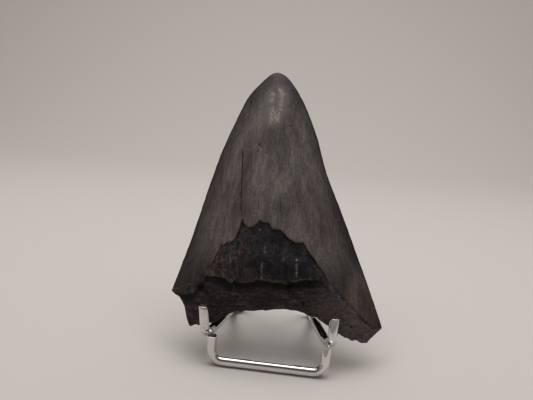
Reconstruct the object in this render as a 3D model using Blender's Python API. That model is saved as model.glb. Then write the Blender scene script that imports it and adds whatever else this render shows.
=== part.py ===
"""Fossil megalodon tooth leaning in a chrome wire display stand.

The tooth is one solid: a crown of smooth enamel whose jagged lower edge stands proud of
the rough bourlette, a ledge under the bourlette, and the short arched root with two lobes.
The stand is two bent wires: the cradle wire (prong, hook and base run on each side, and
the loop behind the tooth) and the foot wire (two legs and the bar on the floor in front).

Lengths are written in millimetres and turned into metres by MM.  The frame: +X to the
tooth's right as seen from the front, +Y to the back, +Z up, with the floor at zero.
"""
import math

import bmesh
import bpy
import numpy as np
from mathutils import Matrix, Vector

MM = 0.001

# Places are given from the middle of the foot bar; the whole object is then moved so that
# its origin is the middle of its footprint.
FOOTPRINT_MIDDLE = (0.4, 23.0)

# ---------------------------------------------------------------- stand
WIRE_RADIUS = 1.6
WIRE_SIDES = 10
ARC_STEP = math.radians(18)
WIRE_REST = WIRE_RADIUS * math.cos(math.pi / WIRE_SIDES)

# Corners of the cradle wire from the left prong's tip to the right one's: place, bend radius.
CRADLE_CORNERS = [
    ((-23.6, 4.3, 19.6), 0.0),
    ((-22.6, 3.0, 10.4), 2.3),
    ((-20.8, 8.0, 9.9), 3.0),
    ((-16.4, 16.0, 12.8), 4.0),
    ((-17.5, 45.0, WIRE_REST), 4.0),
    ((-12.8, 48.4, WIRE_REST), 4.0),
    ((-8.6, 31.6, 49.6), 6.5),
    ((8.6, 31.6, 49.6), 6.5),
    ((12.6, 48.4, WIRE_REST), 4.0),
    ((15.9, 45.0, WIRE_REST), 4.0),
    ((13.75, 16.0, 13.1), 4.0),
    ((17.6, 7.4, 9.6), 3.4),
    ((19.5, 2.8, 9.1), 2.4),
    ((20.1, 4.6, 18.6), 0.0),
]

# Corners of the foot wire from the left leg's cut end to the right leg's.
FOOT_CORNERS = [
    ((-19.9, 1.3, 10.6), 0.0),
    ((-19.9, 1.7, WIRE_REST), 3.7),
    ((17.4, -1.5, WIRE_REST), 4.0),
    ((17.7, -0.3, 8.6), 0.0),
]
FOOT_BAR_CORNER = 1

# ---------------------------------------------------------------- tooth
# The tooth's own frame: across (+ right), height along its axis, and forward (+ towards
# the lingual face that carries the bourlette).
TOOTH_LEAN = math.radians(20)
TOOTH_PLACE = (0.0, 15.8, 12.6)
TIP_HEIGHT = 89.5
LEFT_CORNER_HEIGHT = 6.6
RIGHT_CORNER_HEIGHT = -0.9

# Cutting edges as (height, across), from the tip down to the root's corners.
LEFT_EDGE = [(89.5, -4.9), (85.5, -10.5), (79.5, -15.1), (69.2, -19.4), (57.9, -23.4),
             (46.1, -26.6), (32.6, -29.8), (17.9, -33.4), (LEFT_CORNER_HEIGHT, -36.4)]
RIGHT_EDGE = [(89.5, -4.9), (84.5, 1.9), (77.0, 6.5), (65.5, 11.4), (52.2, 15.7),
              (38.0, 21.9), (23.2, 28.0), (8.2, 33.8), (RIGHT_CORNER_HEIGHT, 37.2)]

# Lower outline as (across, height): left corner, left lobe, arch, right lobe, right corner.
ROOT_OUTLINE = [(-36.4, 6.6), (-33.1, 4.2), (-31.0, 1.5), (-29.8, -2.6), (-28.6, -5.0),
                (-26.6, -4.4), (-24.4, -4.3), (-22.0, -3.4), (-20.2, -3.0), (-17.0, -0.8),
                (-13.0, 1.0), (-8.3, 1.6), (-3.2, 2.2), (0.2, 2.9), (3.9, 3.0), (7.7, 2.6),
                (11.1, 1.7), (14.9, 0.7), (17.0, -0.9), (21.0, -2.9), (24.4, -5.0),
                (26.8, -5.7), (28.6, -5.6), (30.3, -6.5), (32.0, -6.2), (32.9, -4.9),
                (35.0, -2.9), (37.2, -0.9)]

# Jagged lower edge of the front enamel as (across, height).
ENAMEL_EDGE = [(-36.4, 6.6), (-28.1, 9.2), (-26.0, 12.9), (-22.3, 16.8), (-20.9, 19.6),
               (-19.7, 24.0), (-18.9, 23.1), (-17.7, 24.2), (-16.2, 23.9), (-15.0, 25.4),
               (-13.9, 29.0), (-13.1, 33.1), (-12.2, 30.7), (-10.7, 29.4), (-9.0, 29.8),
               (-7.7, 30.9), (-7.2, 32.6), (-6.1, 31.3), (-3.7, 31.5), (-2.6, 29.5),
               (-1.2, 28.9), (0.1, 29.4), (2.9, 26.9), (5.7, 25.1), (8.0, 25.6),
               (10.8, 21.8), (15.0, 16.9), (16.5, 14.1), (20.3, 10.8), (23.5, 7.5),
               (29.7, 2.3), (33.2, -0.6), (37.2, -0.9)]
BACK_ENAMEL_EDGE = [(-36.4, 6.6), (-26.0, 8.0), (-14.0, 12.4), (-1.0, 15.0), (12.0, 13.0),
                    (25.0, 5.6), (37.2, -0.9)]
LEDGE_EDGE = [(-36.4, 5.6), (-28.0, 6.5), (-22.0, 11.3), (-16.4, 11.8), (-11.8, 11.3),
              (-7.8, 10.2), (1.7, 10.8), (4.5, 12.5), (9.6, 14.5), (14.5, 13.9),
              (19.2, 11.0), (25.0, 4.0), (37.2, -2.0)]

# Thickness as (height, forward): the plane of the cutting edges, and how far the middle of
# the front and of the back stands off that plane.
EDGE_PLANE = [(89.5, 3.0), (70.0, 2.4), (40.0, 2.0), (25.0, 2.4), (12.0, 4.2), (-6.0, 5.4)]
FRONT_BULGE = [(89.5, 0.0), (85.0, 2.5), (78.0, 4.3), (65.0, 7.0), (50.0, 10.0),
               (35.0, 12.7), (25.0, 14.0), (16.0, 13.6), (8.0, 11.2), (0.0, 8.2), (-6.0, 6.8)]
BACK_BULGE = [(89.5, 0.0), (85.0, 1.3), (78.0, 1.7), (60.0, 2.1), (40.0, 2.3), (25.0, 2.7),
              (12.0, 4.0), (-6.0, 4.4)]
CROWN_SECTION = (2.0, 1.15)
ROOT_SECTION = (2.4, 0.85)
SECTION_CHANGE = (8.0, 28.0)

# The enamel stands proud of the bourlette by ENAMEL_STEP, and the root is set back under
# the ledge by LEDGE_DEPTH, fading out over LEDGE_FADE beyond LEDGE_REACH on either side.
ENAMEL_STEP = 0.5
STEP_RUN = 0.3
LEDGE_DEPTH = 2.4
LEDGE_RUN = 0.5
LEDGE_REACH = (12.0, 12.0)
LEDGE_FADE = 12.0
ROOT_BOTTOM_PLANE = 8.2
FRONT_ROUNDING = 3.0
BACK_ROUNDING = 7.0

COLUMNS = 48
CROWN_ROWS = 19
BOURLETTE_ROWS = 7
ROOT_ROWS = 7
BACK_ROOT_ROWS = 7
TIP_CROWDING = 1.5


# ---------------------------------------------------------------- helpers
def clear_scene():
    """Remove every object that the scene starts with."""
    for obj in list(bpy.data.objects):
        bpy.data.objects.remove(obj, do_unlink=True)


def srgb(hex_colour):
    """Linear RGBA from an sRGB hex colour."""
    parts = [int(hex_colour[i:i + 2], 16) / 255 for i in (1, 3, 5)]
    return [c / 12.92 if c <= 0.04045 else ((c + 0.055) / 1.055) ** 2.4 for c in parts] + [1.0]


def material(name, hex_colour, roughness, metallic):
    """A Principled material with one colour, roughness and metallic value."""
    mat = bpy.data.materials.new(name)
    mat.use_nodes = True
    shader = mat.node_tree.nodes["Principled BSDF"]
    shader.inputs["Base Color"].default_value = srgb(hex_colour)
    shader.inputs["Roughness"].default_value = roughness
    shader.inputs["Metallic"].default_value = metallic
    return mat


def add_object(name, bm, mat, parent):
    """Turn a bmesh into a smooth-shaded object with one material under the parent."""
    bmesh.ops.recalc_face_normals(bm, faces=bm.faces)
    mesh = bpy.data.meshes.new(name)
    bm.to_mesh(mesh)
    bm.free()
    mesh.materials.append(mat)
    mesh.shade_smooth()
    mesh.set_sharp_from_angle(angle=math.radians(50))
    obj = bpy.data.objects.new(name, mesh)
    bpy.context.collection.objects.link(obj)
    obj.parent = parent
    return obj


def smooth_through(points, at):
    """Values at `at` on the cubic Hermite curve through (position, value) points."""
    place, value = np.array(sorted(points), float).T
    slope = np.gradient(value, place)
    i = np.clip(np.searchsorted(place, at, side="right") - 1, 0, len(place) - 2)
    span = place[i + 1] - place[i]
    t = np.clip((at - place[i]) / span, 0.0, 1.0)
    rise = t * t * (3 - 2 * t)
    return (value[i] * (1 - rise) + value[i + 1] * rise
            + span * t * (1 - t) * ((1 - t) * slope[i] - t * slope[i + 1]))


def broken_line(points, at):
    """Values at `at` on the straight-line path through (position, value) points."""
    place, value = np.array(points, float).T
    return np.interp(at, place, value)


def smooth_step(low, high, at):
    """0 below `low`, 1 above `high`, with a smooth rise between them."""
    t = np.clip((at - low) / (high - low), 0.0, 1.0)
    return t * t * (3 - 2 * t)


# ---------------------------------------------------------------- tooth
def below_tip(height):
    """Square root of the distance below the tip, in which the tip is round."""
    return np.sqrt(np.maximum(TIP_HEIGHT - height, 0.0))


def along_tooth(points, height):
    """A smooth value along the tooth's height that starts round at the tip."""
    return smooth_through([(math.sqrt(TIP_HEIGHT - h), value) for h, value in points],
                          below_tip(height))


def across_at(share, height):
    """Across position of a column, a share of the way from the left to the right edge."""
    left = along_tooth(LEFT_EDGE, np.maximum(height, LEFT_CORNER_HEIGHT))
    right = along_tooth(RIGHT_EDGE, np.maximum(height, RIGHT_CORNER_HEIGHT))
    return left + (right - left) * share


def height_where(share, outline):
    """Height at which each column meets an outline given as (across, height) points."""
    height = np.zeros_like(share)
    for _ in range(30):
        height = 0.5 * height + 0.5 * broken_line(outline, across_at(share, height))
    return height


def fullness(share, height):
    """1 in the middle of a cross-section and 0 at its two cutting edges."""
    root = 1 - smooth_step(*SECTION_CHANGE, height)
    power = CROWN_SECTION[0] + (ROOT_SECTION[0] - CROWN_SECTION[0]) * root
    shape = CROWN_SECTION[1] + (ROOT_SECTION[1] - CROWN_SECTION[1]) * root
    return np.maximum(1 - np.abs(2 * share - 1) ** power, 0.0) ** shape


def rounding(above_bottom, size):
    """0 on the root's lower outline, rising as a quarter circle to 1 a `size` above it."""
    t = np.clip(above_bottom / size, 0.0, 1.0)
    return np.sqrt(1 - (1 - t) ** 2)


def ledge_depth(across):
    """How far the root is set back under the ledge, fading out towards both lobes."""
    left, right = LEDGE_REACH
    shape = smooth_step(-left - LEDGE_FADE, -left, across)
    shape = shape * (1 - smooth_step(right, right + LEDGE_FADE, across))
    return LEDGE_DEPTH * shape


def front_rows(share, bottom):
    """Heights and set-backs of the front rows from the tip down to the root's outline."""
    enamel = np.maximum(height_where(share, ENAMEL_EDGE), bottom)
    ledge = height_where(share, LEDGE_EDGE)
    ledge = np.clip(ledge, bottom + 0.35 * (enamel - bottom), enamel - 0.15 * (enamel - bottom))
    step_foot = enamel - np.minimum(STEP_RUN, 0.05 * (enamel - bottom))
    ledge_foot = ledge - np.minimum(LEDGE_RUN, 0.1 * (ledge - bottom))
    heights = []
    drops = []
    for t in (np.arange(CROWN_ROWS + 1) / CROWN_ROWS) ** TIP_CROWDING:
        heights.append(TIP_HEIGHT + (enamel - TIP_HEIGHT) * t)
        drops.append(0 * share)
    for t in np.linspace(0, 1, BOURLETTE_ROWS + 1):
        heights.append(step_foot + (ledge - step_foot) * t)
        drops.append(ENAMEL_STEP + 0 * share)
    for t in np.sin(np.linspace(0, 1, ROOT_ROWS + 1) * math.pi / 2):
        heights.append(ledge_foot + (bottom - ledge_foot) * t)
        drops.append(ENAMEL_STEP + ledge_depth(across_at(share, ledge)))
    return np.array(heights), np.array(drops)


def back_rows(share, bottom):
    """Heights and set-backs of the back rows from the tip down to the root's outline."""
    enamel = np.maximum(height_where(share, BACK_ENAMEL_EDGE), bottom)
    step_foot = enamel - np.minimum(STEP_RUN, 0.05 * (enamel - bottom))
    heights = []
    drops = []
    for t in (np.arange(CROWN_ROWS + 1) / CROWN_ROWS) ** TIP_CROWDING:
        heights.append(TIP_HEIGHT + (enamel - TIP_HEIGHT) * t)
        drops.append(0 * share)
    for t in np.sin(np.linspace(0, 1, BACK_ROOT_ROWS + 1) * math.pi / 2):
        heights.append(step_foot + (bottom - step_foot) * t)
        drops.append(ENAMEL_STEP + 0 * share)
    return np.array(heights), np.array(drops)


def forward_at(share, height, drop, bottom, side):
    """Forward position of the front (side +1) or back (side -1) face.

    The face stands off the plane of the cutting edges by its bulge times the section's
    fullness, less the set-back, and closes on the root's lower outline with a rounding.
    """
    full = fullness(share, height)
    bulge, size = (FRONT_BULGE, FRONT_ROUNDING) if side > 0 else (BACK_BULGE, BACK_ROUNDING)
    plane = along_tooth(EDGE_PLANE, height)
    face = plane + side * full * (along_tooth(bulge, height) - drop)
    middle = plane + (ROOT_BOTTOM_PLANE - plane) * fullness(share, bottom)
    closing = rounding(height - bottom, size)
    return middle + (face - middle) * closing


def tooth_rows():
    """Grids of tooth points for the front and back faces, both from the tip down."""
    even = np.linspace(-1, 1, COLUMNS + 1)
    share = 0.5 + 0.5 * (0.6 * even + 0.4 * np.sin(even * math.pi / 2))
    bottom = height_where(share, ROOT_OUTLINE)
    grids = []
    for rows, side in ((front_rows, 1), (back_rows, -1)):
        height, drop = rows(share, bottom)
        forward = forward_at(share, height, drop, bottom, side)
        grids.append(np.stack([across_at(share, height), -forward, height], axis=-1) * MM)
    return grids


def build_tooth(mat, parent):
    """Join the front and back grids, welded along the tip, cutting edges and root outline."""
    bm = bmesh.new()
    for grid in tooth_rows():
        verts = [[bm.verts.new(point) for point in row] for row in grid.tolist()]
        for upper, lower in zip(verts, verts[1:]):
            for i in range(COLUMNS):
                bm.faces.new((upper[i], upper[i + 1], lower[i + 1], lower[i]))
    bmesh.ops.remove_doubles(bm, verts=bm.verts, dist=0.01 * MM)
    bmesh.ops.triangulate(bm, faces=bm.faces)
    obj = add_object("tooth", bm, mat, parent)
    obj.location = Vector(TOOTH_PLACE) * MM
    obj.rotation_euler = (-TOOTH_LEAN, 0, 0)
    return obj


# ---------------------------------------------------------------- wires
def rounded_path(corners):
    """Points of a path that runs straight between corners and turns each one in an arc."""
    places = [Vector(place) * MM for place, _ in corners]
    path = [places[0]]
    for i in range(1, len(corners) - 1):
        before = (places[i - 1] - places[i]).normalized()
        after = (places[i + 1] - places[i]).normalized()
        half_angle = before.angle(after) / 2
        radius = corners[i][1] * MM
        centre = places[i] + (before + after).normalized() * radius / math.sin(half_angle)
        start = places[i] + before * radius / math.tan(half_angle) - centre
        axis = before.cross(after).normalized()
        turn = math.pi - 2 * half_angle
        steps = max(1, math.ceil(turn / ARC_STEP))
        for k in range(steps + 1):
            path.append(centre + Matrix.Rotation(-turn * k / steps, 3, axis) @ start)
    path.append(places[-1])
    return path


def wire_frames(path, level_index):
    """A tangent and a side vector at every point, level at `level_index`, without twist."""
    tangents = []
    for i in range(len(path)):
        ahead = path[min(i + 1, len(path) - 1)] - path[i]
        behind = path[i] - path[max(i - 1, 0)]
        tangents.append((ahead.normalized() + behind.normalized()).normalized())
    sides = {level_index: tangents[level_index].cross(Vector((0, 0, 1))).normalized()}
    for i in range(level_index + 1, len(path)):
        sides[i] = tangents[i - 1].rotation_difference(tangents[i]) @ sides[i - 1]
    for i in range(level_index - 1, -1, -1):
        sides[i] = tangents[i + 1].rotation_difference(tangents[i]) @ sides[i + 1]
    return tangents, sides


def build_wire(name, corners, level_corner, mat, parent):
    """A round wire of WIRE_SIDES flats along the corners, with plain cut ends.

    The flats are level along the stretch that follows the corner `level_corner`.
    """
    path = rounded_path(corners)
    level_place = Vector(corners[level_corner][0]) * MM
    towards = (Vector(corners[level_corner + 1][0]) * MM - level_place).normalized()
    level_index = max(range(len(path)),
                      key=lambda i: -abs((path[i] - level_place).dot(towards)
                                         - corners[level_corner][1] * MM))
    tangents, sides = wire_frames(path, level_index)
    bm = bmesh.new()
    rings = []
    for i, centre in enumerate(path):
        up = sides[i].cross(tangents[i])
        ring = []
        for k in range(WIRE_SIDES):
            angle = 2 * math.pi * k / WIRE_SIDES
            offset = sides[i] * math.cos(angle) + up * math.sin(angle)
            ring.append(bm.verts.new(centre + offset * WIRE_RADIUS * MM))
        rings.append(ring)
    for ring, following in zip(rings, rings[1:]):
        for k in range(WIRE_SIDES):
            after = (k + 1) % WIRE_SIDES
            bm.faces.new((ring[k], ring[after], following[after], following[k]))
    bm.faces.new(rings[0])
    bm.faces.new(rings[-1])
    return add_object(name, bm, mat, parent)


# ---------------------------------------------------------------- assembly
def main():
    """Build the tooth and its stand under one empty."""
    clear_scene()
    origin = bpy.data.objects.new("object_origin", None)
    bpy.context.collection.objects.link(origin)
    origin.location = (-FOOTPRINT_MIDDLE[0] * MM, -FOOTPRINT_MIDDLE[1] * MM, 0)
    fossil = material("fossil_tooth", "#3f3c3b", 0.5, 0.0)
    chrome = material("chrome_wire", "#d9d9d8", 0.06, 1.0)
    build_tooth(fossil, origin)
    build_wire("cradle_wire", CRADLE_CORNERS, 4, chrome, origin)
    build_wire("foot_wire", FOOT_CORNERS, FOOT_BAR_CORNER, chrome, origin)


main()
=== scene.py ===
"""Dresses the fossil megalodon tooth and its chrome wire stand around the fixed CAD frame.

The tooth and both wires are fine surfaces worked out with numpy, made from the same
driving dimensions as the solids that they replace.  Lengths are millimetres until a mesh
is made.  The frame: +X to the tooth's right seen from the front, +Y back, +Z up.
"""
import math

import bpy
import numpy as np
from mathutils import Matrix, Vector


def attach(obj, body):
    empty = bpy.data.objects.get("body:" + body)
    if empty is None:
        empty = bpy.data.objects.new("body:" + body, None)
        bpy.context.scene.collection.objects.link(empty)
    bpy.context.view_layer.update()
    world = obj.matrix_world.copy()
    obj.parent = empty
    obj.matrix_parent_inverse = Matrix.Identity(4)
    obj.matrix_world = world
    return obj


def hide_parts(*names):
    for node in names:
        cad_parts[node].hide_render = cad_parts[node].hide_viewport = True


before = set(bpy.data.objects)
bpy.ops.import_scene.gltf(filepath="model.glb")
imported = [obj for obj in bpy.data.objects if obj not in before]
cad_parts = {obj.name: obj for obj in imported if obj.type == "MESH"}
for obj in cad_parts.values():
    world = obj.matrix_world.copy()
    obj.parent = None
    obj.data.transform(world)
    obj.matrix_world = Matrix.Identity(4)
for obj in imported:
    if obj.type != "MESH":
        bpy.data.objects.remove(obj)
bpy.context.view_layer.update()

MM = 0.001
FOOTPRINT_MIDDLE = np.array([0.4, 23.0, 0.0])

# ---------------------------------------------------------------- stand
WIRE_RADIUS = 1.6
WIRE_REST = WIRE_RADIUS
WIRE_SIDES = 40
ARC_STEP = math.radians(5)
STRAIGHT_STEP = 1.5
# A wire's end: how far its rounding reaches in, how far it drops, and how the cut leans back.
BARE_END = (0.55, 0.12, 0.0)
PLATED_END = (0.12, 0.06, math.radians(33))
END_STEPS = 7
# The flat disc of an end reaches out to the radius less this share of the rounding's reach.
DISC_SHARE = 0.8
# A bead: steps from pole to pole, and the depth, width and seed of its dents.
BEAD_STEPS = 18
BEAD_DENT = 0.06
BEAD_DENT_GRAIN = (0.7, 41)
# Points within one cell of this lattice are merged.
WELD_CELL = 0.002

# Corners of the cradle wire from the left prong's tip to the right one's: place, bend radius.
CRADLE_CORNERS = [
    ((-23.6, 4.2, 19.6), 0.0),
    ((-22.6, 3.0, 10.4), 2.3),
    ((-20.8, 8.0, 9.9), 3.0),
    ((-16.4, 16.0, 12.8), 4.0),
    ((-17.5, 45.0, WIRE_REST), 4.0),
    ((-12.8, 48.4, WIRE_REST), 4.0),
    ((-8.6, 31.6, 49.6), 6.5),
    ((8.6, 31.6, 49.6), 6.5),
    ((12.6, 48.4, WIRE_REST), 4.0),
    ((15.9, 45.0, WIRE_REST), 4.0),
    ((13.75, 16.0, 13.1), 4.0),
    ((17.6, 7.4, 9.6), 3.4),
    ((19.5, 2.8, 9.1), 2.4),
    ((20.1, 4.15, 18.7), 0.0),
]

# Corners of the foot wire from the left leg's cut end to the right leg's.
FOOT_CORNERS = [
    ((-19.9, 1.3, 10.6), 0.0),
    ((-19.9, 1.7, WIRE_REST), 3.7),
    ((17.4, -1.5, WIRE_REST), 4.0),
    ((17.75, -0.2, 9.2), 0.0),
]

# Weld beads where the legs meet the cradle: name, place, direction, radii along and across.
WELD_BEADS = [
    ("weld_bead_left", (-20.9, 3.3, 10.9), (-0.8, 0.6, 0.3), (1.2, 0.9)),
    ("weld_bead_right", (18.9, 2.3, 9.2), (0.5, 0.85, 0.0), (1.1, 0.7)),
]
# Places of the small brown dots on the cradle's bends, and how far they reach.
WIRE_BROWN_DOTS = [(-22.63, 1.7, 12.7), (18.7, 1.8, 10.9)]
BROWN_DOT_REACH = 0.45

# ---------------------------------------------------------------- tooth
# The tooth's own frame: across (+ right), height along its axis, and forward (+ towards
# the lingual face that carries the bourlette).
TOOTH_LEAN = math.radians(20)
TOOTH_PLACE = np.array([0.0, 15.8, 12.6])
TIP_HEIGHT = 89.5
LEFT_CORNER_HEIGHT = 6.6
RIGHT_CORNER_HEIGHT = -0.9

# Cutting edges as (height, across), from the tip down to the root's corners.
LEFT_EDGE = [(89.5, -4.9), (85.5, -10.5), (79.5, -15.1), (69.2, -19.4), (57.9, -23.4),
             (46.1, -26.6), (32.6, -29.8), (17.9, -33.4), (LEFT_CORNER_HEIGHT, -36.4)]
RIGHT_EDGE = [(89.5, -4.9), (84.5, 1.9), (77.0, 6.5), (65.5, 11.4), (52.2, 15.7),
              (38.0, 21.9), (23.2, 28.0), (8.2, 33.8), (RIGHT_CORNER_HEIGHT, 37.2)]

# Lower outline as (across, height): left corner, left lobe, arch, right lobe, right corner.
ROOT_OUTLINE = [(-36.4, 6.6), (-33.1, 4.2), (-31.0, 1.5), (-29.8, -2.6), (-28.6, -5.0),
                (-26.6, -4.4), (-24.4, -4.3), (-22.0, -3.4), (-20.2, -3.0), (-17.0, -0.8),
                (-13.0, 1.0), (-8.3, 1.6), (-3.2, 2.2), (0.2, 2.9), (3.9, 3.0), (7.7, 2.6),
                (11.1, 1.7), (14.9, 0.7), (17.0, -0.9), (21.0, -2.9), (24.4, -5.0),
                (26.8, -5.7), (28.6, -5.6), (30.3, -6.5), (32.0, -6.2), (32.9, -4.9),
                (35.0, -2.9), (37.2, -0.9)]

# Jagged lower edge of the front enamel as (across, height).
ENAMEL_EDGE = [(-36.4, 6.6), (-28.1, 9.2), (-26.0, 12.9), (-22.3, 16.8), (-20.9, 19.6),
               (-19.7, 24.0), (-18.9, 23.1), (-17.7, 24.2), (-16.2, 23.9), (-15.0, 25.4),
               (-13.9, 29.0), (-13.1, 33.1), (-12.2, 30.7), (-10.7, 29.4), (-9.0, 29.8),
               (-7.7, 30.9), (-7.2, 32.6), (-6.1, 31.3), (-3.7, 31.5), (-2.6, 29.5),
               (-1.2, 28.9), (0.1, 29.4), (2.9, 26.9), (5.7, 25.1), (8.0, 25.6),
               (10.8, 21.8), (15.0, 16.9), (16.5, 14.1), (20.3, 10.8), (23.5, 7.5),
               (29.7, 2.3), (33.2, -0.6), (37.2, -0.9)]
BACK_ENAMEL_EDGE = [(-36.4, 6.6), (-26.0, 8.0), (-14.0, 12.4), (-1.0, 15.0), (12.0, 13.0),
                    (25.0, 5.6), (37.2, -0.9)]
LEDGE_EDGE = [(-36.4, 5.6), (-28.0, 6.5), (-25.4, 9.6), (-23.8, 12.4), (-21.0, 12.7),
              (-16.8, 12.1), (-14.3, 11.1), (-10.7, 11.1), (-9.2, 10.3), (-7.1, 9.6),
              (-3.0, 9.8), (0.5, 10.3), (3.4, 11.2), (5.1, 12.5), (6.7, 12.9), (9.7, 13.7),
              (12.6, 13.9), (15.0, 13.2), (18.5, 11.0), (25.0, 4.0), (37.2, -2.0)]

# Thickness as (height, forward): the plane of the cutting edges, and how far the middle of
# the front and of the back stands off that plane.
EDGE_PLANE = [(89.5, 3.0), (70.0, 2.4), (40.0, 2.0), (25.0, 2.4), (12.0, 4.2), (-6.0, 5.4)]
FRONT_BULGE = [(89.5, 0.0), (85.0, 2.5), (78.0, 4.3), (65.0, 7.0), (50.0, 10.0),
               (35.0, 12.7), (25.0, 14.0), (16.0, 13.6), (8.0, 11.2), (0.0, 8.2), (-6.0, 6.8)]
BACK_BULGE = [(89.5, 0.0), (85.0, 1.3), (78.0, 1.7), (60.0, 2.1), (40.0, 2.3), (25.0, 2.7),
              (12.0, 4.0), (-6.0, 4.4)]
# Powers that shape a cross-section of the crown and of the root, and the heights between
# which one becomes the other.
CROWN_SECTION = (2.0, 1.15)
ROOT_SECTION = (2.4, 0.85)
SECTION_CHANGE = (8.0, 28.0)

# Unevenness of the outlines: height, width along the outline, seed.
ROOT_OUTLINE_LUMPS = (0.25, 1.4, 14)
ENAMEL_EDGE_LUMPS = (0.35, 0.9, 11)
BACK_ENAMEL_EDGE_LUMPS = (0.3, 1.1, 13)
LEDGE_EDGE_LUMPS = (0.35, 1.3, 12)
OUTLINE_PASSES = 30

# Worn nicks of the cutting edges, as width and seed, fading out within TIP_ROUND of the tip.
NICK_DEPTH = 0.06
LEFT_NICKS = (2.1, 3)
RIGHT_NICKS = (1.8, 4)
TIP_ROUND = 8.0

# The enamel stands proud of the bourlette by ENAMEL_STEP, and the root is set back under
# the ledge by LEDGE_DEPTH, fading out over LEDGE_FADE beyond LEDGE_REACH on either side.
# Where enamel and root outline come close, both steps shrink to a share of the room left.
ENAMEL_STEP = 0.55
STEP_RUN = 0.12
STEP_SHARE = 0.05
LEDGE_DEPTH = 2.4
LEDGE_RUN = 0.4
LEDGE_RUN_SHARE = 0.1
# Least room of the ledge over the root's outline and under the enamel's edge, as shares.
LEDGE_ROOM = (0.35, 0.15)
LEDGE_REACH = (12.0, 12.0)
LEDGE_FADE = 12.0
ROOT_BOTTOM_PLANE = 8.2
FRONT_ROUNDING = 3.0
BACK_ROUNDING = 7.0

# Marks on the front, as (across, height) in the tooth's own frame.
MAIN_CRACK = [(-15.2, 57.7), (-14.5, 47.1), (-14.2, 40.9), (-13.8, 36.0), (-13.2, 33.0)]
HAIRLINES = [[(-20.6, 34.8), (-20.1, 27.6)], [(-8.0, 39.4), (-7.5, 33.2)],
             [(-0.2, 38.5), (0.1, 33.7)], [(-12.0, 60.0), (-11.3, 42.6)]]
# Pale streaks near the tip, partly wear and partly a painted highlight.
WORN_TIP_AND_HIGHLIGHT = [[(-3.7, 82.0), (-2.8, 79.8), (-2.6, 76.5), (-2.9, 73.5)],
            [(-3.3, 72.5), (-4.0, 69.6)], [(-6.0, 79.6), (-6.1, 77.0)],
            [(-5.9, 73.5), (-5.8, 68.2)], [(-4.8, 72.0), (-4.9, 69.0)]]
# Round marks as (across, height, radius).
PALE_SPECKS = [(-6.6, 28.8, 0.55), (-12.9, 28.3, 0.4), (1.9, 19.5, 0.4), (6.2, 19.6, 0.5),
               (6.3, 17.0, 0.2), (6.4, 15.4, 0.25), (-14.8, 22.7, 0.35), (-4.5, 27.5, 0.25),
               (-0.1, 39.4, 0.3), (-6.9, 15.3, 0.25)]
DARK_PITS = [(-9.2, 59.7, 0.5), (-8.3, 58.7, 0.35), (-9.6, 57.1, 0.35), (-6.7, 56.4, 0.3),
             (1.0, 67.7, 0.4), (-12.9, 28.6, 0.25), (-6.6, 28.6, 0.3)]
# Ring-shaped marks as (across, height, radius), pale upright streaks, and the pink band.
RINGS = [(-12.9, 28.5, 0.75), (-19.8, 18.2, 1.0), (-13.7, 20.5, 0.9), (-22.2, 12.9, 1.2),
         (-23.8, 9.6, 1.3), (-11.6, 23.4, 0.7), (-17.6, 13.9, 0.9)]
PALE_STREAKS = [[(-5.2, 17.8), (-4.8, 14.0), (-5.2, 9.7)], [(6.3, 18.2), (6.5, 14.3)],
                [(-4.7, 24.6), (-4.4, 21.5)], [(-16.4, 20.4), (-15.6, 17.3)]]
PINK_BAND = [(89.5, -1.0), (72.0, 4.2), (59.5, 6.9), (42.1, 12.1), (33.8, 15.3), (20.5, 23.1),
             (9.7, 28.6), (-1.0, 34.0)]
# Nutrient holes and hollows of the root and the ledge: across, height, radius, depth.
# The bourlette and root fill them with near-black painted shade.
HOLLOWS = [(-25.3, 8.2, 1.7, 1.3), (-23.2, 7.0, 0.8, 0.7), (-23.3, 10.6, 0.7, 0.5),
           (4.4, 11.7, 1.1, 0.9), (-2.0, 6.0, 0.5, 0.4), (9.5, 5.5, 0.6, 0.5),
           (-13.0, 6.2, 0.6, 0.4), (26.0, -1.0, 0.5, 0.35)]

# Stretch of the ledge, from left to right, whose lip is brown, and how fast the lip's brown
# and, past its right end, the brown rim along the enamel's edge and the painted shadow under
# the ledge fade.
RIM_SPAN = (-23.5, 12.0)
RIM_FADE = 2.0
EDGE_MARK_FADE = 0.5
# The dark cloud on the crown, and the two directions along which painted shade darkens the crown.
CLOUD_PLACE = (1.2, 0.0, 38.0)
LOW_RIGHT = (1.0, 0.0, -0.6)
LOW_LEFT = (-1.0, 0.0, -0.6)
# Depth and half width of the crack, and depth of the dark pits.
CRACK_CUT = (0.14, 0.35)
PIT_DEPTH = 0.18

# Relief of each zone as rows of height, stretch across and along, width and seed.  The back
# adds BACK_SEEDS to every seed.
ENAMEL_RELIEF = [(0.09, 1.0, 2.5, 8.0, 21), (0.018, 1.0, 12.0, 0.9, 22)]
BOURLETTE_RELIEF = [(0.13, 1.0, 6.0, 0.9, 23), (0.26, 1.0, 2.0, 3.2, 24),
                    (0.08, 1.0, 1.0, 0.8, 25)]
ROOT_RELIEF = [(0.38, 1.0, 1.0, 3.8, 26), (0.16, 2.5, 1.0, 0.9, 27), (0.08, 1.0, 1.0, 0.8, 28)]
BACK_SEEDS = 40

# How far from the cutting edges the relief reaches full height, as fullness of the section.
RELIEF_START = 0.25

# Grid of points: columns crowd towards both cutting edges and crown rows towards the tip.
COLUMNS = 190
CROWN_ROWS = 160
BOURLETTE_ROWS = 50
ROOT_ROWS = 30
BACK_ROOT_ROWS = 30
TIP_CROWDING = 1.5
EDGE_CROWDING = 0.4

# ---------------------------------------------------------------- view and stage
CAMERA_PLACE = np.array([1.0, -162.6, 89.0])
CAMERA_PITCH = math.radians(11.0)
CAMERA_YAW = math.radians(2.0)
CAMERA_ROLL = math.radians(3.5)
FOCAL_PIXELS = 535.0
IMAGE_WIDTH = 533.0
SENSOR_WIDTH = 36.0
CLIP_RANGE = (0.005, 10.0)

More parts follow.
